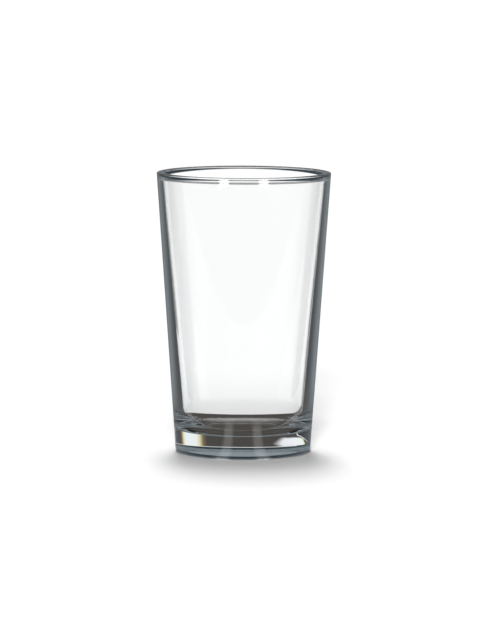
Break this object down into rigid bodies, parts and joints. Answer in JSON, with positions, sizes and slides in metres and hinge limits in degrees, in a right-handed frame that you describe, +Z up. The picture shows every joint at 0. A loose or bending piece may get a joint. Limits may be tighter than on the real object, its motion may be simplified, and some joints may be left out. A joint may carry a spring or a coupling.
{
  "type": "pint glass",
  "caption": "Straight-sided pint glass of clear pressed glass, tapering from a wide round rim to a thick flat base.",
  "frame": {"origin": "centre of the standing ring, on the plane that the glass rests on", "axes": "+Z up along the glass's axis, from the base to the rim; the glass is round, so +X and +Y are any two square directions"},
  "size_m": [0.0866, 0.0866, 0.14],
  "materials": {
    "clear_glass": "clear, fire-polished, faint cool grey tint in the thick base"
  },
  "bodies": {
    "root": {"glass_body": "clear_glass"}
  },
  "joints": []
}
